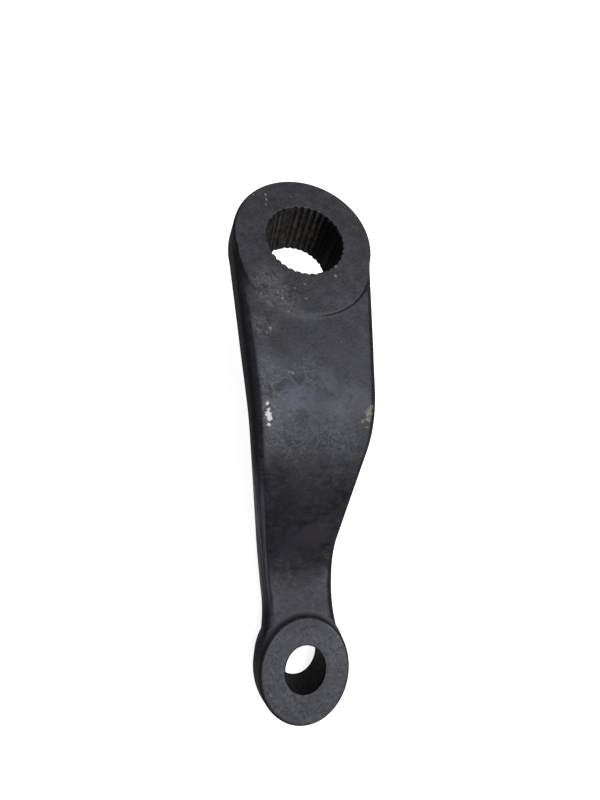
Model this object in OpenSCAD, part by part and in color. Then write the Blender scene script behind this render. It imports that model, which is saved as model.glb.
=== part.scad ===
// Dropped pitman arm: one steel forging with a splined end, an S-bent arm and a tapered eye.
// Millimetres. The splined bore's axis is Z, its front face is z = 0 and the arm runs towards -Y.

/* [Layout] */
// Distance between the splined bore and the tapered hole, seen along the bores
centre_distance = 167.5; // [160:0.5:185]
// Step down from the splined end's front face to the eye's front face
drop = 49.5; // [42:0.5:56]
// Slope of the arm between its two bends, in degrees
bend_angle = 43; // [39:1:46]
// Distance from the splined bore to the first bend
first_bend_at = 61.5; // [57:0.5:65]
// Rise of the arm's front from the splined end to the first bend
arm_rise = 1.5; // [0:0.1:2]
// Radius of the first bend at mid thickness
first_bend_r = 25; // [22:0.5:28]
// Radius of the second bend at mid thickness
second_bend_r = 36; // [30:0.5:40]

/* [Splined end] */
// Radius of the splined end's front face
hub_r = 28.7; // [28.5:0.1:31]
// How far the splined end's round outline sits above the bore
hub_rise = 0.9; // [0:0.1:1.2]
// Thickness of the splined end
hub_t = 25; // [24:0.2:28]
// Radius of the lower end of the raised face
pad_r = 27; // [25:0.5:27.5]
// How far the raised face runs on below the bore
pad_shift = 7.2; // [5:0.2:9]
// Height of the raised face above the arm
pad_step = 1; // [0.8:0.1:2]
// Radius over the tips of the splines
spline_tip_r = 15.3; // [14.8:0.1:15.6]
// Radius at the bottom of the spline grooves
spline_root_r = 16.2; // [15.9:0.1:16.8]
// Depth of the lead-in cone at both mouths of the splined bore
lead_in = 1; // [0.6:0.1:2]
// Spline positions round the bore
spline_count = 36; // [24:4:48]
// Positions left without a groove, evenly spaced, that set the arm's angle on its shaft
blind_count = 4; // [2:2:4]
// Angle of the first blind position
blind_angle = 21; // [0:1:90]

/* [Tapered eye] */
// Radius of the eye's front face
eye_r = 19.2; // [18:0.1:20.5]
// Thickness of the eye
eye_t = 21; // [19:0.5:24]
// Height of the eye's front face above the neck of the arm
eye_step = 3; // [2:0.5:5]
// Radius of the tapered hole at the front face
taper_front_r = 8.35; // [7.5:0.05:9]
// Length over which the tapered hole's diameter grows by one unit
taper_ratio = 8; // [6:0.5:12]
// Radius of the fillet between the neck's sides and the eye
neck_fillet_r = 60; // [45:1:70]

/* [Arm section] */
// Half width of the arm on the parting line, level with the splined bore
arm_half_w = 30.1; // [29:0.1:30.1]
// Half width lost for each millimetre along the arm
arm_taper = 0.09; // [0.085:0.001:0.095]
// Thickness of the arm beside the splined end
arm_t = 22; // [20:0.5:23]
// Thickness of the arm at its neck
neck_t = 14; // [12:0.5:15]
// Draft of the arm's sides, in degrees
draft = 6; // [4:0.5:9]
// Draft of the two round ends, in degrees
end_draft = 8; // [7:0.5:10]
// Rounding of the arm's long edges
arm_edge_r = 4; // [2.5:0.1:4.5]
// Rounding of the face edges of both ends
face_edge_r = 0.8; // [0.4:0.1:1.2]
// Height of the flat band left where the flash was trimmed
trim_band = 1.6; // [0.8:0.1:2.4]

/* [Hidden] */
steel = [0.16, 0.16, 0.17];

edge_steps = 6;
bend_steps = 14;
fillet_steps = 8;
round_fn = 96;
mouth_share = 0.6;
cut = 2;

spline_pitch = 360 / spline_count;
groove_tip_share = 0.38;
groove_root_share = 0.1;
groove_tip_half = groove_tip_share * spline_pitch;
groove_root_half = groove_root_share * spline_pitch;
blind_every = spline_count / blind_count;

hub_parting = pad_step + arm_t / 2;
eye_parting = eye_step + neck_t / 2;
eye_parting_r = eye_r + (eye_parting - trim_band / 2) * tan(end_draft);
taper_back_r = taper_front_r + eye_t / taper_ratio / 2;

// Arm path through mid thickness, as [y, z] with y counted along the arm away from the splined bore
arm_z = -hub_parting;
bend_z = arm_z + arm_rise;
neck_z = -drop - eye_parting;
bend_fall = (first_bend_r + second_bend_r) * (1 - cos(bend_angle));
ramp = (bend_z - neck_z - bend_fall) / sin(bend_angle);
ramp_from = [first_bend_at + first_bend_r * sin(bend_angle), bend_z - first_bend_r * (1 - cos(bend_angle))];
ramp_to = ramp_from + ramp * [cos(bend_angle), -sin(bend_angle)];
neck_from = ramp_to[0] + second_bend_r * sin(bend_angle);
first_arc = first_bend_r * bend_angle * PI / 180;
second_arc = second_bend_r * bend_angle * PI / 180;
s_ramp = first_bend_at + first_arc;
s_second = s_ramp + ramp;
s_neck = s_second + second_arc;
s_eye = s_neck + centre_distance - neck_from;

// Fillet that opens the neck out to the eye, seen along the bores
flare_sink = 0.15;
flare_w = arm_half_w - arm_taper * (s_eye - eye_parting_r);
flare_eye_r = eye_parting_r - flare_sink;
flare_x = flare_w + neck_fillet_r;
flare_reach = sqrt(pow(flare_eye_r + neck_fillet_r, 2) - pow(flare_x, 2));
flare_end = flare_reach * flare_eye_r / (flare_eye_r + neck_fillet_r);
neck_start = max(neck_from, centre_distance - flare_reach);
neck_end = centre_distance - flare_end;
neck_step = neck_start > neck_from ? 0 : 1;

function straight_w(s) = arm_half_w - arm_taper * s;
function flare(to_eye) = to_eye > flare_reach || to_eye < flare_end
    ? 0
    : flare_x - sqrt(pow(neck_fillet_r, 2) - pow(flare_reach - to_eye, 2)) - flare_w;
function thickness(s) = arm_t + (neck_t - arm_t) * min(1, s / s_neck);

// Stations along the arm: [y, z, slope, half width, thickness]
function station(s, y, z, slope) = [y, z, slope, straight_w(s) + flare(centre_distance - y), thickness(s)];
function first_bend(a) = station(
    first_bend_at + first_bend_r * a * PI / 180,
    first_bend_at + first_bend_r * sin(a),
    bend_z - first_bend_r * (1 - cos(a)),
    a);
function second_bend(a) = station(
    s_neck - second_bend_r * a * PI / 180,
    neck_from - second_bend_r * sin(a),
    neck_z + second_bend_r * (1 - cos(a)),
    a);
function neck(y) = station(s_neck + y - neck_from, y, neck_z, 0);

stations = concat(
    [station(0, 0, arm_z, 0)],
    [for (i = [0 : bend_steps]) first_bend(bend_angle * i / bend_steps)],
    [for (i = [bend_steps : -1 : 0]) second_bend(bend_angle * i / bend_steps)],
    [for (i = [neck_step : fillet_steps]) neck(neck_start + (neck_end - neck_start) * i / fillet_steps)],
    [neck(centre_distance)]);

// One quarter of the arm's section: trimmed band, drafted side and rounded edge
function quarter(w, t) = let (
    side_h = t / 2 - arm_edge_r,
    side_w = w - (side_h - trim_band / 2) * tan(draft)) concat(
    [[w, trim_band / 2]],
    [for (i = [0 : edge_steps]) let (a = draft + (90 - draft) * i / edge_steps) [
        side_w + arm_edge_r * (cos(a) - 1 / cos(draft)),
        side_h + arm_edge_r * sin(a)]]);
function backwards(p) = [for (i = [len(p) - 1 : -1 : 0]) p[i]];
function section(w, t) = let (q = quarter(w, t)) concat(
    q,
    [for (p = backwards(q)) [-p[0], p[1]]],
    [for (p = q) [-p[0], -p[1]]],
    [for (p = backwards(q)) [p[0], -p[1]]]);
function placed(st) = [for (p = section(st[3], st[4]))
    [p[0], -st[0] - p[1] * sin(st[2]), st[1] + p[1] * cos(st[2])]];

module skin(rows) {
    n = len(rows[0]);
    last = len(rows) - 1;
    sides = [for (i = [0 : last - 1], j = [0 : n - 1])
        [i * n + j, (i + 1) * n + j, (i + 1) * n + (j + 1) % n, i * n + (j + 1) % n]];
    ends = [[for (j = [0 : n - 1]) j], [for (j = [n - 1 : -1 : 0]) last * n + j]];
    polyhedron(points = [for (r = rows, p = r) p], faces = concat(sides, ends), convexity = 6);
}

// Round end from its front face down, with drafted sides that meet at the depth of the parting line
module round_end(face_r, t, parting) {
    band = trim_band / 2;
    parting_r = face_r + (parting - band) * tan(end_draft);
    back_r = parting_r - (t - parting - band) * tan(end_draft);
    rotate_extrude($fn = round_fn)
        polygon([
            [0, 0],
            [face_r - face_edge_r, 0],
            [face_r, -face_edge_r],
            [parting_r, band - parting],
            [parting_r, -band - parting],
            [back_r, face_edge_r - t],
            [back_r - face_edge_r, -t],
            [0, -t]]);
}

module raised_face() {
    translate([0, -pad_shift, -arm_edge_r - pad_step])
        cylinder(h = arm_edge_r + pad_step, r = pad_r, $fn = round_fn);
}

module lead_in_cone() {
    mouth_r = spline_tip_r + mouth_share * (spline_root_r - spline_tip_r);
    slope = (mouth_r - spline_tip_r) / lead_in;
    translate([0, 0, -lead_in - cut])
        cylinder(
            h = lead_in + 2 * cut,
            r1 = spline_tip_r - slope * cut,
            r2 = mouth_r + slope * cut,
            $fn = round_fn);
}

module spline_bore() {
    groove = [
        [spline_tip_r, -groove_tip_half],
        [spline_root_r, -groove_root_half],
        [spline_root_r, groove_root_half],
        [spline_tip_r, groove_tip_half]];
    land = [[spline_tip_r, -groove_tip_half], [spline_tip_r, 0], [spline_tip_r, groove_tip_half]];
    outline = [for (i = [0 : spline_count - 1], p = i % blind_every == 0 ? land : groove)
        let (a = blind_angle + i * spline_pitch + p[1])
        p[0] * [cos(a), sin(a)]];
    translate([0, 0, -hub_t - cut])
        linear_extrude(hub_t + 2 * cut)
            polygon(outline);
    lead_in_cone();
    translate([0, 0, -hub_t])
        mirror([0, 0, 1])
            lead_in_cone();
}

module tapered_hole() {
    run_out = cut / taper_ratio / 2;
    translate([0, -centre_distance, -drop - eye_t - cut])
        cylinder(
            h = eye_t + 2 * cut,
            r1 = taper_back_r + run_out,
            r2 = taper_front_r - run_out,
            $fn = round_fn);
}

module pitman_arm() {
    color(steel)
        difference() {
            union() {
                skin([for (st = stations) placed(st)]);
                translate([0, hub_rise, 0])
                    round_end(hub_r, hub_t, hub_parting);
                raised_face();
                translate([0, -centre_distance, -drop])
                    round_end(eye_r, eye_t, eye_parting);
            }
            spline_bore();
            tapered_hole();
        }
}

pitman_arm();
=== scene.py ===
import math
from types import SimpleNamespace

import bpy
import numpy as np
from mathutils import Euler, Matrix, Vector, noise


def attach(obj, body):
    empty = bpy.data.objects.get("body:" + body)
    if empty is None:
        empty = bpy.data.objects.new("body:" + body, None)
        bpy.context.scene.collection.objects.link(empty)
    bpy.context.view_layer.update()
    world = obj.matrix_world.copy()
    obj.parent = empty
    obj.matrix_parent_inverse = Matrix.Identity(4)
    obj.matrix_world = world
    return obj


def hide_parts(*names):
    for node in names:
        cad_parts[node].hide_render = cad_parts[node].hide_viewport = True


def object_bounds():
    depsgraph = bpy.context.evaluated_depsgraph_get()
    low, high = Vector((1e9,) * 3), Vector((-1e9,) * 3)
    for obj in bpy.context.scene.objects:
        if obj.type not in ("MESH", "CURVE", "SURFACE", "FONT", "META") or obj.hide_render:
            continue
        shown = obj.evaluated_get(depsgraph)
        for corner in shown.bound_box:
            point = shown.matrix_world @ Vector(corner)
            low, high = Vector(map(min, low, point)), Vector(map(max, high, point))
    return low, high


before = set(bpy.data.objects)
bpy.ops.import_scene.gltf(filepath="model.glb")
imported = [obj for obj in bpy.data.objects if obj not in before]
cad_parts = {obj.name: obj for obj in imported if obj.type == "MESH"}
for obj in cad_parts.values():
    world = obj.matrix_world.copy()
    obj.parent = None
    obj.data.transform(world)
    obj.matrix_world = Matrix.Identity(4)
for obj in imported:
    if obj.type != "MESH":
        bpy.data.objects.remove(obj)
cadLow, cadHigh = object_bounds()
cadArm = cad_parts["pitman_arm"]
scene = bpy.context.scene
scene.view_settings.view_transform = "Standard"
mm = 0.001
print("frame loaded")


class Tap:  # one output socket, so shader maths reads as Python
    def __init__(self, tree, socket):
        self.tree = tree
        self.socket = socket

    def add(self, kind, settings, sockets, out=0):  # any other node; a socket gets a value or a link
        node = self.tree.nodes.new(kind)
        for key, value in settings.items():
            setattr(node, key, value)
        for key, value in sockets.items():
            if isinstance(value, Tap):
                self.tree.links.new(value.socket, node.inputs[key])
            else:
                node.inputs[key].default_value = value
        return Tap(self.tree, node.outputs[out])

    def maths(self, operation, a, b=0.0):
        return self.add("ShaderNodeMath", {"operation": operation}, {0: a, 1: b})

    def __add__(self, other):
        return self.maths("ADD", self, other)

    def __radd__(self, other):
        return self.maths("ADD", other, self)

    def __sub__(self, other):
        return self.maths("SUBTRACT", self, other)

    def __rsub__(self, other):
        return self.maths("SUBTRACT", other, self)

    def __mul__(self, other):
        return self.maths("MULTIPLY", self, other)

    def __rmul__(self, other):
        return self.maths("MULTIPLY", other, self)

    def __pow__(self, other):
        return self.maths("POWER", self, other)

    def __abs__(self):
        return self.maths("ABSOLUTE", self)

    def __or__(self, other):  # the stronger of two masks
        return self.maths("MAXIMUM", self, other)

    def step(self, low, high):  # smooth 0 to 1 between low and high
        return self.add("ShaderNodeMapRange", {"interpolation_type": "SMOOTHSTEP"},
                        {"Value": self, "From Min": low, "From Max": high})

    def ease(self, edge):  # the same between two places in mm
        return self.step(edge[0] * mm, edge[1] * mm)

    def span(self, start, end):  # 1 between two such edges
        return self.ease(start) * self.ease(end)

    def tint(self, under, over):  # colour: under where self is 0, over where it is 1
        return self.add("ShaderNodeMix", {"data_type": "RGBA"}, {0: self, 6: under, 7: over}, out=2)

    def vector(self, operation, *terms, out=0):
        return self.add("ShaderNodeVectorMath", {"operation": operation}, dict(enumerate(terms)), out)

    def parts(self):  # the three numbers of a vector
        return [self.add("ShaderNodeSeparateXYZ", {}, {0: self}, k) for k in range(3)]

    def grain(self, size, detail=3.0, rough=0.55, warp=0.0, out=0):  # noise in lumps about size mm across
        return self.add("ShaderNodeTexNoise", {}, {
            "Vector": self, "Scale": 1 / (size * mm), "Detail": detail,
            "Roughness": rough, "Distortion": warp}, out)

    def near(self, spot, radius, soft):  # 1 inside a round spot, fading out over soft, all in mm
        return self.vector("DISTANCE", self, Vector(spot) * mm, out="Value").ease((radius + soft, radius))

    def spots(self, rows, soft):  # rows of x, y, z and radius
        mask = self.near(rows[0][:3], rows[0][3], soft)
        for row in rows[1:]:
            mask = mask | self.near(row[:3], row[3], soft)
        return mask


raisedFace = dict(centre=-7.2 * mm, radius=27 * mm)                    # lower end of the face round the bore
eyeFace = dict(centre=-167.5 * mm, level=-49.5 * mm, wall=19.6 * mm)   # and the wall round its foot

skin = dict(
    weld=0.001 * mm,
    voxel=0.32 * mm,                    # grid the solid is skinned on
    pull=0.5,                           # how far a pass moves a point towards its neighbours
    soften=5,                           # passes that take the sharpness off every edge
    boreRadius=17 * mm,
    boreSoften=0.3,                     # how much of that the splines get
    body=(-46 * mm, -136 * mm),         # bent stretch of the arm
    bodyFade=6 * mm,
    lipBand=1.8 * mm,                   # half width of the worn lip of the raised face
    lipDepth=-2.5 * mm,
    lipBelow=(-10 * mm, -20 * mm),
    lipMiddle=(-6 * mm, 6 * mm),        # from its worn left half to its crisp right half
    lipCrisp=0.12,
    lipSoften=95,                       # further passes on the lip
    cornerLevel=-52.4 * mm,
    cornerBand=(1.3 * mm, 3.25 * mm),   # corner where the neck meets the eye's wall
    bodySoften=40,                      # and on the bent stretch and that corner
    wave=0.07 * mm,                     # depth of the forging's unevenness
    waveSize=8 * mm,
    waveEnds=0.15,                      # share of it on the two round ends
    keep=0.24,                          # share of faces kept after thinning
)


def applied(obj, kind, settings):  # run one modifier and keep its result as the mesh
    modifier = obj.modifiers.new(kind.lower(), kind)
    for key, value in settings.items():
        setattr(modifier, key, value)
    obj.data = bpy.data.meshes.new_from_object(obj.evaluated_get(bpy.context.evaluated_depsgraph_get()))
    obj.modifiers.clear()


def meshArrays(mesh):
    points = np.empty(len(mesh.vertices) * 3)
    mesh.vertices.foreach_get("co", points)
    edges = np.empty(len(mesh.edges) * 2, int)
    mesh.edges.foreach_get("vertices", edges)
    return points.reshape(-1, 3), edges.reshape(-1, 2)


def ramp(values, low, high):
    return np.clip((values - low) / (high - low), 0, 1)


def fromAxis(points, centre):  # distance from an upright axis on the arm's middle plane
    return np.hypot(points[:, 0], points[:, 1] - centre)


def relaxed(points, edges, weight, passes):  # pull each point towards the middle of its neighbours
    size = len(points)
    edges = edges[(weight > 0)[edges].any(axis=1)]
    links = np.maximum(np.bincount(edges.ravel(), minlength=size), 1)[:, None]
    one, other = edges.T
    for turn in range(passes):
        total = np.stack([np.bincount(one, points[other, k], size) + np.bincount(other, points[one, k], size)
                          for k in range(3)], axis=1)
        points = points + weight[:, None] * skin["pull"] * (total / links - points)
    return points


def bentBody(points):
    top, end = skin["body"]
    fade = skin["bodyFade"]
    return ramp(points[:, 1], top, top - fade) * ramp(points[:, 1], end, end + fade)


def wornLip(points):
    offRim = np.abs(fromAxis(points, raisedFace["centre"]) - raisedFace["radius"])
    lip = 1 - ramp(offRim, skin["lipBand"], 2 * skin["lipBand"])
    lip *= (points[:, 2] > skin["lipDepth"]) * ramp(points[:, 1], *skin["lipBelow"])
    return lip * (1 - (1 - skin["lipCrisp"]) * ramp(points[:, 0], *skin["lipMiddle"]))


def eyeCorner(points):
    offWall = fromAxis(points, eyeFace["centre"]) - eyeFace["wall"]
    return 1 - ramp(np.hypot(offWall, points[:, 2] - skin["cornerLevel"]), *skin["cornerBand"])


def waved(mesh, points, body):  # the forging's unevenness, always inwards
    normals = np.empty(len(points) * 3)
    mesh.vertex_normals.foreach_get("vector", normals)
    lumps = np.array([noise.noise(Vector(p) / skin["waveSize"]) for p in points])
    share = skin["waveEnds"] + (1 - skin["waveEnds"]) * body
    depth = skin["wave"] * (0.5 + 0.5 * lumps) * share
    return points - normals.reshape(-1, 3) * depth[:, None]


def forgedSkin(source):
    obj = bpy.data.objects.new("forgedArm", source.data.copy())
    scene.collection.objects.link(obj)
    applied(obj, "WELD", {"merge_threshold": skin["weld"]})
    applied(obj, "REMESH", {"mode": "VOXEL", "voxel_size": skin["voxel"]})
    mesh = obj.data
    points, edges = meshArrays(mesh)
    inBore = fromAxis(points, 0) < skin["boreRadius"]
    points = relaxed(points, edges, np.where(inBore, skin["boreSoften"], 1.0), skin["soften"])
    lip, body, corner = wornLip(points), bentBody(points), eyeCorner(points)
    points = relaxed(points, edges, lip, skin["lipSoften"])
    points = relaxed(points, edges, np.maximum(body, corner), skin["bodySoften"])
    mesh.vertices.foreach_set("co", points.ravel())
    mesh.update()
    mesh.vertices.foreach_set("co", waved(mesh, points, body).ravel())
    applied(obj, "DECIMATE", {"ratio": skin["keep"]})
    obj.data.polygons.foreach_set("use_smooth", np.ones(len(obj.data.polygons), bool))
    print("skin", len(obj.data.vertices), "points", len(obj.data.polygons), "faces")
    return obj


arm = forgedSkin(cadArm)
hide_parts("pitman_arm")
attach(arm, "root")

# Places in the dictionaries below are in mm. A pair is a soft edge, from where a mask is 0 to where it is 1.
maps = dict(
    cloud=11, blotch=3.2, fine=0.8,                          # sizes of the coat's grain, coarse to fine
    patchy=4, flecks=1.2, pits=2.3, eyePits=1.3,
    ragged=1.0, raggedReach=2.2,                             # push that tears the edges of marks
    streakSize=0.9, streakAcross=10, streakAlong=0.05,       # streaks that run along the long edges
    bend=((-50, -64), (-92, -82)),                           # along the arm, over the first bend
    # spots on the bend, and the whole bend at a quarter: real wear plus a painted highlight that lifts the
    # bend
    wearAndHighlight=[(-18.0, -57.0, -1, 3.0), (-17.5, -65.0, -1.5, 4.0), (-15.0, -76.0, -4.9, 4.5),
          (-5.0, -57.0, -1, 2.0), (0.7, -75.3, -4.3, 3.0), (-5.0, -81.5, -8.0, 5.0),
          (8.0, -80.5, -7.5, 4.0)],
    wearAndHighlightFade=9,
    eyeRadius=19, eyeFade=1,
    dustBeds=[(-16.1, -20.4, 0, 2.5), (-14.0, -25.3, 0, 2.0), (-10.0, -29.0, 0, 1.0),
              (-18.6, -39.1, -1, 0.3)],
    dustFade=6.5,
    slopeDown=(-13, -28), slopeAlong=(-148, -134),           # left side of the slope between the bends
    slopeLeft=(0, -6),
    boreRadius=(16.9, 16.6), boreMouth=(-0.3, -1.1),
)


def surfaceMaps(tree):  # readings, grains and masks that several layers of the coat share
    on = SimpleNamespace()
    coords = tree.nodes.new("ShaderNodeTexCoord")
    place = on.place = Tap(tree, coords.outputs["Object"])
    on.x, on.y, on.z = place.parts()
    normal = Tap(tree, coords.outputs["Normal"]).parts()
    on.sideways, on.upward = abs(normal[0]), abs(normal[2])
    on.cloud = place.grain(maps["cloud"], 4)
    on.blotch = place.grain(maps["blotch"], 4, 0.6)
    on.fine = place.grain(maps["fine"], 3, 0.7)
    on.patchy = place.grain(maps["patchy"], 5, 0.65, 1.0)
    on.flecks = place.grain(maps["flecks"], 4, 0.75, 0.25).step(0.46, 0.66)
    reach = maps["raggedReach"] * mm
    push = place.grain(maps["ragged"], 4, 0.7, out="Color")
    centred = place.vector("SUBTRACT", place, (reach / 2,) * 3)
    on.torn = place.vector("MULTIPLY_ADD", push, (reach,) * 3, centred)
    lanes = place.add("ShaderNodeCombineXYZ", {},
                      {0: on.sideways * (maps["streakAcross"] * mm), 1: on.y * maps["streakAlong"]})
    on.streak = lanes.grain(maps["streakSize"], 2)
    on.fromBore, on.fromLip, on.fromEye = [(on.x * on.x + (on.y - centre) ** 2.0) ** 0.5
                                           for centre in (0.0, raisedFace["centre"], eyeFace["centre"])]
    on.bend = on.y.span(*maps["bend"])
    # real wear in spots and a painted highlight along the whole bend
    on.wearAndHighlight = place.spots(maps["wearAndHighlight"], maps["wearAndHighlightFade"]) | on.bend * 0.25
    eyeCentre = (0, eyeFace["centre"] / mm, eyeFace["level"] / mm)
    on.eye = place.near(eyeCentre, maps["eyeRadius"], maps["eyeFade"])
    pitted = (on.cloud * 0.5 + on.blotch * 0.5).step(0.4, 0.6)
    pits = place.grain(maps["pits"], 4, 0.65).step(0.58, 0.7) * pitted
    eyePits = on.eye * place.grain(maps["eyePits"], 3, 0.6).step(0.58, 0.68) * on.cloud.step(0.42, 0.56)
    on.pits = pits | eyePits
    on.dustBed = place.spots(maps["dustBeds"], maps["dustFade"])
    on.slope = on.z.ease(maps["slopeDown"]) * on.y.ease(maps["slopeAlong"]) * on.x.ease(maps["slopeLeft"])
    on.inBore = on.fromBore.ease(maps["boreRadius"]) * on.z.ease(maps["boreMouth"])
    return on


rub = dict(
    lift=(-30, -8),                                          # higher up, steeper skin is rubbed too
    paintedNeckShade=(0, -142, -52), paintedNeckShadeRadius=8, paintedNeckShadeFade=14,    # painted shade in the hollow of the neck
    shadowAlong=(-134, -128.5), shadowDown=(-36, -44),       # foot of the slope
    shadeLeftAcross=(-2, -14), shadeLeftDown=((-9, -16), (-36, -28)),  # painted shade on the left of the slope
    crispRight=(0, 6), crispTop=(-34, -28),                  # edges that stay narrow
    paintedLightNeckFoot=((19.9, 20.7), (27, 24)),                       # painted light: more satin on the ring of the neck round the eye's wall, lifting its shaded corner
    neckLevel=(-54.5, -53.5), neckTop=(-162, -152),
)


def rubbedAndPaintedShadeMask(on):  # 1 where the matte scale is rubbed to a satin; picked by which way the skin faces, so the darker matte on the sides and the slope is partly painted shade, and some terms paint shade or light in places
    # painted shade: less satin in the neck's hollow
    paintedNeckShade = on.place.near(rub["paintedNeckShade"], rub["paintedNeckShadeRadius"], rub["paintedNeckShadeFade"])
    shadow = on.y.ease(rub["shadowAlong"]) * on.z.ease(rub["shadowDown"])
    # painted shade: less satin on the left of the slope
    paintedShadeLeft = on.x.ease(rub["shadeLeftAcross"]) * on.z.span(*rub["shadeLeftDown"])
    level = on.upward + on.z.ease(rub["lift"]) * 0.2 - paintedNeckShade * 0.14 - shadow * 0.07 - paintedShadeLeft * 0.05
    level = level + (on.cloud - 0.5) * 0.1 + (on.blotch - 0.5) * 0.12
    crisp = on.x.ease(rub["crispRight"]) | on.y.ease(rub["crispTop"])
    flat = (on.sideways + (on.fine - 0.5) * 0.2 - crisp * 0.15).step(0.25, 0.03)
    # satin on the painted reflection stripe beside the slope
    reflectionStripeSatin = on.sideways.step(0.58, 0.7) * on.slope * on.streak.step(0.25, 0.6)
    # painted light in the shaded corner at the foot of the eye's wall
    paintedLightNeckFoot = on.fromEye.span(*rub["paintedLightNeckFoot"]) * on.z.ease(rub["neckLevel"]) * on.y.ease(rub["neckTop"])
    paintedLightNeckFoot = paintedLightNeckFoot * on.upward.step(0.25, 0.6) * on.sideways.step(0.5, 0.3)
    return level.step(0.68, 0.98) * flat | reflectionStripeSatin * 0.26 | paintedLightNeckFoot * 0.55


coat = dict(
    dark=(0.0125, 0.0125, 0.015, 1),
    light=(0.045, 0.0455, 0.053, 1),
    polishAndHighlight=(0.108, 0.111, 0.12, 1),                          # worn lighter on the bend, partly a painted highlight there; a painted highlight on the eye's rim
    blue=(0.055, 0.063, 0.092, 1),                           # heat-blue bloom on the bend
    frost=(0.085, 0.086, 0.095, 1),                          # pale grain on the neck and the eye; also painted light on the eye's shaded wall
    pit=(0.007, 0.007, 0.008, 1),
    dust=(0.13, 0.127, 0.12, 1),                             # dry dust along the lower left of the big face
    lipShadowColour=(0.009, 0.009, 0.01, 1),                            # painted shadow under the lip's right half
    leftEdge=(-9, -17), upperBend=(-79, -72),
    bloomFade=5,
    bloom=[(-7.7, -66.1, -1.5, 2.5), (5.0, -59.0, -1.1, 1.5), (13.5, -63.1, -1.2, 0.8),
           (8.9, -72.2, -2.8, 1.6)],
    hazeFade=7,
    haze=[(9.5, -80.4, -7.2, 3.0)],                          # fainter bloom below it
    paintedShadeFade=9,                                              # painted shade: evener, darker spots standing in for shade
    paintedShade=[(-8.0, -44.0, -1, 4.0), (9.0, -44.0, -1, 6.0), (14.0, -58.0, -1, 4.0), (15.0, -69.0, -2, 2.0),
          (0, -70.0, -2.5, 1.0), (0, -140.5, -52.5, 4.0), (2.0, -182.0, -49.5, 3.0), (0, -88.5, -13.5, 4.0)],
    stainFade=1.8,                                           # small dark stains
    stains=[(-6.2, -59.5, -1.1, 0.7), (-5.8, -71.8, -2.9, 1.4), (5.4, -65.4, -1.4, 1.0),
            (-0.8, -33.3, -0.5, 1.5), (3.2, -34.0, -0.8, 1.2)],
    frostSize=1.7, frostDown=(-44, -49),
    # painted highlight: band inside the top rim of the eye's face
    eyeRimHighlight=(16.5, 18.5), eyeRimHighlightTop=(-164, -153),
    lipOut=0.5, lipTop=(-3, -2),                             # foot of the raised face's lip
    crumbs=(0.9, 0.2), crumbsLeft=(-2, -8), crumbsBelow=(-20, -26),    # dust caught along its left half
    # painted shadow: thin line just outside the lip's right half
    lipShadow=(1.1, 0.2), lipShadowRight=(-8, 6), lipShadowBelow=(-12, -18),
)


def bendWearAndPaintedLight(on, shade):
    rubbedEdge = on.x.ease(coat["leftEdge"]) * 0.25
    # lighter where worn: partly real wear, partly a painted highlight on the bend
    polishAndHighlight = on.wearAndHighlight * (rubbedEdge + on.patchy.step(0.38, 0.6) * 0.15 + on.flecks * 0.7)
    shade = polishAndHighlight.tint(shade, coat["polishAndHighlight"])
    scaly = on.bend * on.y.ease(coat["upperBend"]) * on.patchy.step(0.49, 0.4)
    shade = (scaly * 0.85).tint(shade, coat["dark"])
    haze = on.place.spots(coat["haze"], coat["hazeFade"]) * 0.5
    bloom = on.torn.spots(coat["bloom"], coat["bloomFade"]) | haze
    shade = (bloom * on.patchy.step(0.35, 0.55) * 0.7).tint(shade, coat["blue"])
    # painted shade over the listed spots
    shade = (on.place.spots(coat["paintedShade"], coat["paintedShadeFade"]) * 0.35).tint(shade, coat["dark"])
    return (on.torn.spots(coat["stains"], coat["stainFade"]) * 0.8).tint(shade, coat["dark"])


def frostedEyeAndRimHighlight(on, shade):
    frost = on.z.ease(coat["frostDown"]) * on.place.grain(coat["frostSize"], 4, 0.65).step(0.46, 0.6)
    shade = (frost * (0.12 + on.cloud.step(0.35, 0.65) * 0.36)).tint(shade, coat["frost"])
    # painted highlight along the top rim of the eye's face
    rimHighlight = on.eye * on.fromEye.ease(coat["eyeRimHighlight"]) * on.y.ease(coat["eyeRimHighlightTop"])
    return (rimHighlight * 0.3).tint(shade, coat["polishAndHighlight"])


def dustAndLipShadow(on, shade):
    dust = on.dustBed * (0.3 + on.fine.step(0.45, 0.68) * 0.7) * on.blotch.step(0.28, 0.58)
    shade = (dust * 0.85).tint(shade, coat["dust"])
    offLip = abs(on.fromLip - (raisedFace["radius"] + coat["lipOut"] * mm))
    crumbs = on.x.ease(coat["crumbsLeft"]) * on.y.ease(coat["crumbsBelow"]) * on.z.ease(coat["lipTop"])
    shade = (offLip.ease(coat["crumbs"]) * crumbs * on.flecks * 0.7).tint(shade, coat["dust"])
    # painted shadow: dark line under the lip's right half
    lipShadow = on.x.ease(coat["lipShadowRight"]) * on.y.ease(coat["lipShadowBelow"]) * on.z.ease(coat["lipTop"])
    return (offLip.ease(coat["lipShadow"]) * lipShadow * 0.55).tint(shade, coat["lipShadowColour"])


def satinColour(on):
    mottle = (on.cloud * 0.25 + on.blotch * 0.35 + on.fine * 0.4).step(0.36, 0.64)
    shade = bendWearAndPaintedLight(on, mottle.tint(coat["dark"], coat["light"]))
    shade = frostedEyeAndRimHighlight(on, shade)
    shade = (on.pits * (0.3 + on.bend * 0.5 + on.eye * 0.5)).tint(shade, coat["pit"])
    return dustAndLipShadow(on, shade)


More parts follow.
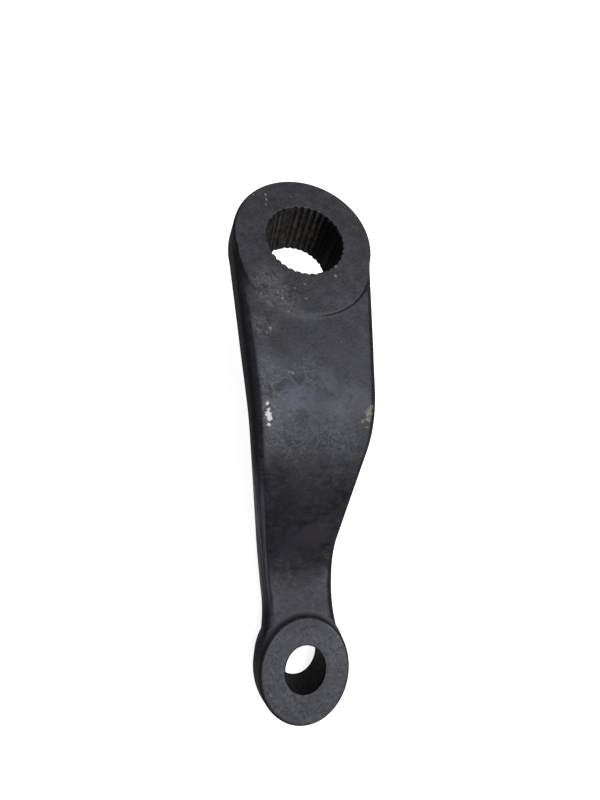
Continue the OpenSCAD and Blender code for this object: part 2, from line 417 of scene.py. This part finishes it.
bore = dict(
    black=(0.006, 0.0055, 0.006, 1),
    brown=(0.046, 0.04, 0.042, 1),
    crestHighlight=(0.085, 0.076, 0.074, 1),                          # painted highlight on the crests of the splines
    rust=(0.108, 0.072, 0.056, 1),                           # in a band half way down
    crest=(15.6, 15.38),                                     # from flank to crest, by radius
    brownLeft=(11, 3),
    crestHighlightAcross=((12, 7), (-15, -9)), crestHighlightTop=(-13, -8),
    blind=(-5.5, 14.3, 0), blindEdge=(1.2, 1.8),             # blind position that has no crest
    rustDown=((-5, -10), (-21, -14)), rustAcross=((13, 7), (-14, -8)),
)


def boreColour(on):
    flatPlace = on.place.add("ShaderNodeCombineXYZ", {}, {0: on.x, 1: on.y})
    fromBlind = flatPlace.vector("DISTANCE", flatPlace, Vector(bore["blind"]) * mm, out="Value")
    crestHighlight = on.fromBore.ease(bore["crest"]) * on.x.span(*bore["crestHighlightAcross"])
    crestHighlight = crestHighlight * fromBlind.ease(bore["blindEdge"])
    brown = on.x.ease(bore["brownLeft"]) * (0.3 + on.blotch.step(0.3, 0.65) * 0.7)
    shade = brown.tint(bore["black"], bore["brown"])
    # painted highlight on the crests, brighter towards the mouth
    crests = crestHighlight * on.blotch.step(0.2, 0.6) * (0.4 + on.z.ease(bore["crestHighlightTop"]) * 0.6)
    shade = crests.tint(shade, bore["crestHighlight"])
    rust = on.z.span(*bore["rustDown"]) * on.x.span(*bore["rustAcross"]) * on.blotch.step(0.43, 0.64)
    return (rust * (0.5 + crestHighlight * 0.3)).tint(shade, bore["rust"])


scale = dict(
    dark=(0.0122, 0.0115, 0.0148, 1),                        # matte scale on the sides and the slope
    light=(0.0305, 0.029, 0.0365, 1),
    warm=(0.036, 0.032, 0.036, 1),                           # browner patch low on the slope
    # painted shade: darkest colour, on side-facing skin
    side=(0.0115, 0.0105, 0.013, 1),
    rub=(0.062, 0.06, 0.08, 1),                              # painted reflection: lilac stripe on the rounded long edge beside the slope
    sideReflection=(0.05, 0.05, 0.056, 1),                             # painted reflection: paler stripe on the side of that edge
    drawnSize=1.6, drawnAcross=0.12,                         # grain drawn out across the arm
    drag=((-80, -86), (-100, -92)),                          # where that shows most, under the bend
    patch=(5.8, -115.6, -40.9), patchRadius=3, patchFade=8,
    pale=[(-2.0, -122.0, -46.5, 5), (-1.0, -98.5, -23.5, 4)],
    paleFade=9,                                              # paler top and foot of the slope
    # painted light on the eye's wall, which stands in shade
    wall=(1.5, 0.7), litWallDown=((-54, -53), (-50, -51.5)), litWallTop=(-160, -152),
    hole=(10.6, 10.2),                                       # tapered hole, dark inside
)


def scaleColour(on):
    drawn = on.place.vector("MULTIPLY", on.place, (scale["drawnAcross"], 1, 1)).grain(scale["drawnSize"], 3)
    patch = on.torn.near(scale["patch"], scale["patchRadius"], scale["patchFade"])
    mottle = on.cloud * 0.3 + on.blotch * 0.35 + on.fine * 0.35 + patch * 0.14
    mottle = mottle + (drawn - 0.5) * (0.1 + on.y.span(*scale["drag"]) * 0.35)
    shade = mottle.step(0.38, 0.66).tint(scale["dark"], scale["light"])
    shade = (patch * 0.4).tint(shade, scale["warm"])
    shade = (on.place.spots(scale["pale"], scale["paleFade"]) * 0.45).tint(shade, scale["light"])
    # painted shade on side-facing skin
    shade = on.sideways.step(0.4, 0.8).tint(shade, scale["side"])
    # painted reflections along the long edge beside the slope
    reflectionStripes = on.slope * on.streak.step(0.25, 0.55)
    shade = (on.sideways.step(0.18, 0.28) * on.sideways.step(0.6, 0.5) * reflectionStripes).tint(shade, scale["rub"])
    shade = (on.sideways.step(0.58, 0.68) * reflectionStripes).tint(shade, scale["sideReflection"])
    # painted light: pale frost colour on the eye's shaded wall
    wall = abs(on.fromEye - eyeFace["wall"]).ease(scale["wall"]) * on.z.span(*scale["litWallDown"])
    wall = wall * on.y.ease(scale["litWallTop"]) * (0.7 + on.blotch * 0.3)
    shade = wall.tint(shade, coat["frost"])
    shade = on.inBore.tint(shade, boreColour(on))
    return (on.fromEye.ease(scale["hole"]) * 0.7).tint(shade, bore["black"])


wear = dict(
    white=(0.62, 0.62, 0.61, 1),                             # coat chipped to bright metal on the left edge
    chips=[(-18.1, -67.9, -1.9, 0.45), (-17.9, -69.7, -2.3, 0.35), (-17.8, -71.2, -2.7, 0.85),
           (-17.3, -72.7, -3.2, 0.7), (-17.5, -74.7, -4.1, 0.4)],
    tan=(0.24, 0.2, 0.15, 1),                                # bare dull patch on the right edge
    scuffs=[(20.4, -69.4, -2.5, 0.4), (19.6, -71.3, -2.9, 0.9), (19.3, -73.4, -3.7, 0.6),
            (18.8, -76.3, -5.2, 0.1), (17.0, -74.2, -4.1, 0.1)],
    grit=(0.2, 0.2, 0.19, 1),                                # single light specks
    specks=[(-15.3, 19.6, 0, 0.35), (-15.2, 17.3, 0, 0.3), (-15.5, 14.9, 0, 0.2), (-20.5, 18.7, 0, 0.2),
            (-4.8, 20.2, 0, 0.1), (11.7, -11.5, 0, 0.3), (11.0, -16.1, 0, 0.3), (15.1, -3.7, 0, 0.1),
            (-19.1, -26.2, -0.1, 0.35), (-11.0, -27.9, 0, 0.3), (-12.8, -25.2, 0, 0.2),
            (-6.0, -23.1, 0, 0.15), (-1.8, -20.9, 0, 0.15), (-1.9, -27.2, 0, 0.1),
            (-8.7, -32.8, -0.7, 0.2), (-10.0, -22.6, 0, 0.1),
            (-15.9, -39.8, -1.0, 0.35), (-17.3, -41.6, -1.0, 0.15), (11.1, -44.2, -1.0, 0.15),
            (-8.9, -57.0, -1.0, 0.3), (-10.1, -56.6, -1.0, 0.15), (-19.7, -61.9, -1.1, 0.15),
            (14.9, -158.0, -49.5, 0.1), (16.4, -159.4, -49.5, 0.1), (-14.7, -173.8, -49.5, 0.05),
            (-11.7, -179.5, -49.5, 0.05)],
    chipFade=0.4, scuffFade=1.0, speckFade=0.35,
)


def marked(on, colour):  # specks, bare patch and chips over a colour
    colour = (on.torn.spots(wear["specks"], wear["speckFade"]) * 0.85).tint(colour, wear["grit"])
    scuffs = on.torn.spots(wear["scuffs"], wear["scuffFade"]) * on.fine.step(0.35, 0.6)
    colour = scuffs.tint(colour, wear["tan"])
    return on.torn.spots(wear["chips"], wear["chipFade"]).tint(colour, wear["white"])


finish = dict(
    satinRough=0.44, sheen=(0.88, 0.9, 1.0, 1),
    matteRough=0.8, matteShine=0.05,
    reliefSize=1.0, reliefDepth=0.2, reliefStrength=0.8,
)


def blackForging():
    material = bpy.data.materials.new("blackForging")
    material.use_nodes = True
    tree = material.node_tree
    tree.nodes.clear()
    on = surfaceMaps(tree)
    relief = on.place.grain(finish["reliefSize"], 5, 0.6) - on.pits * 0.4
    relief = relief + on.wearAndHighlight * (on.flecks * 0.3 + on.patchy * 0.8)
    skinNormal = on.place.add("ShaderNodeBump", {}, {
        "Strength": finish["reliefStrength"], "Distance": finish["reliefDepth"] * mm, "Height": relief})
    satin = on.place.add("ShaderNodeBsdfPrincipled", {}, {
        "Base Color": marked(on, satinColour(on)),
        "Roughness": finish["satinRough"] + on.blotch * 0.12 + on.fine * 0.1 + on.dustBed * 0.2,
        "Specular Tint": finish["sheen"],
        "Normal": skinNormal})
    matte = on.place.add("ShaderNodeBsdfPrincipled", {}, {
        "Base Color": marked(on, scaleColour(on)),
        "Roughness": finish["matteRough"],
        "Specular IOR Level": finish["matteShine"],
        "Normal": skinNormal})
    both = on.place.add("ShaderNodeMixShader", {}, {0: rubbedAndPaintedShadeMask(on) * (1 - on.inBore), 1: matte, 2: satin})
    output = tree.nodes.new("ShaderNodeOutputMaterial")
    tree.links.new(both.socket, output.inputs["Surface"])
    return material


arm.data.materials.clear()
arm.data.materials.append(blackForging())
print("coat and wear done")

studio = dict(
    floorZ=cadLow.z,
    floorSize=6.0,
    floorShade=(0.8, 0.8, 0.8, 1),
    floorGlow=0.85,                     # brings the floor up to white for the camera and in reflections
    white=(1, 1, 1, 1),
    airLight=0.22,
    softbox=dict(place=(0.2, -0.17, 0.6), aim=(0.0, -0.09, 0.0), size=0.4, power=4.2),
)


def studioFloor():
    bpy.ops.mesh.primitive_plane_add(size=studio["floorSize"], location=(0, 0, studio["floorZ"]))
    floor = bpy.context.object
    floor.name = "studioFloor"
    material = bpy.data.materials.new("paleFloor")
    material.use_nodes = True
    tree = material.node_tree
    tree.nodes.clear()
    rays = tree.nodes.new("ShaderNodeLightPath")
    camera, glossy, through = [Tap(tree, rays.outputs["Is %s Ray" % kind])
                               for kind in ("Camera", "Glossy", "Transmission")]
    seen = camera | glossy | through
    pale = seen.add("ShaderNodeBsdfDiffuse", {}, {"Color": studio["floorShade"]})
    glow = seen.add("ShaderNodeEmission", {}, {
        "Color": studio["white"], "Strength": seen * studio["floorGlow"]})
    both = seen.add("ShaderNodeAddShader", {}, {0: pale, 1: glow})
    output = tree.nodes.new("ShaderNodeOutputMaterial")
    tree.links.new(both.socket, output.inputs["Surface"])
    floor.data.materials.append(material)


def softbox(name, spec):
    lamp = bpy.data.lights.new(name, "AREA")
    lamp.shape = "SQUARE"
    lamp.size = spec["size"]
    lamp.energy = spec["power"]
    obj = bpy.data.objects.new(name, lamp)
    scene.collection.objects.link(obj)
    obj.location = spec["place"]
    obj.rotation_euler = (Vector(spec["aim"]) - Vector(spec["place"])).to_track_quat("-Z", "Y").to_euler()


def skyLight():
    world = bpy.data.worlds.new("studioAir")
    scene.world = world
    world.use_nodes = True
    air = world.node_tree.nodes["Background"]
    air.inputs["Color"].default_value = studio["white"]
    air.inputs["Strength"].default_value = studio["airLight"]


studioFloor()
skyLight()
softbox("overheadSoftbox", studio["softbox"])

view = dict(
    place=(-0.034824, -0.098171, 0.109287),
    turn=(16.301, -13.165, -3.996),     # degrees
    sensor=36,
    lens=20.3588,
    clipStart=0.005,
)


def photoCamera():
    data = bpy.data.cameras.new("photoCamera")
    data.sensor_fit = "HORIZONTAL"
    data.sensor_width = view["sensor"]
    data.lens = view["lens"]
    data.clip_start = view["clipStart"]
    obj = bpy.data.objects.new("photoCamera", data)
    scene.collection.objects.link(obj)
    obj.location = view["place"]
    obj.rotation_euler = Euler([math.radians(a) for a in view["turn"]])
    scene.camera = obj


photoCamera()
print("studio done")
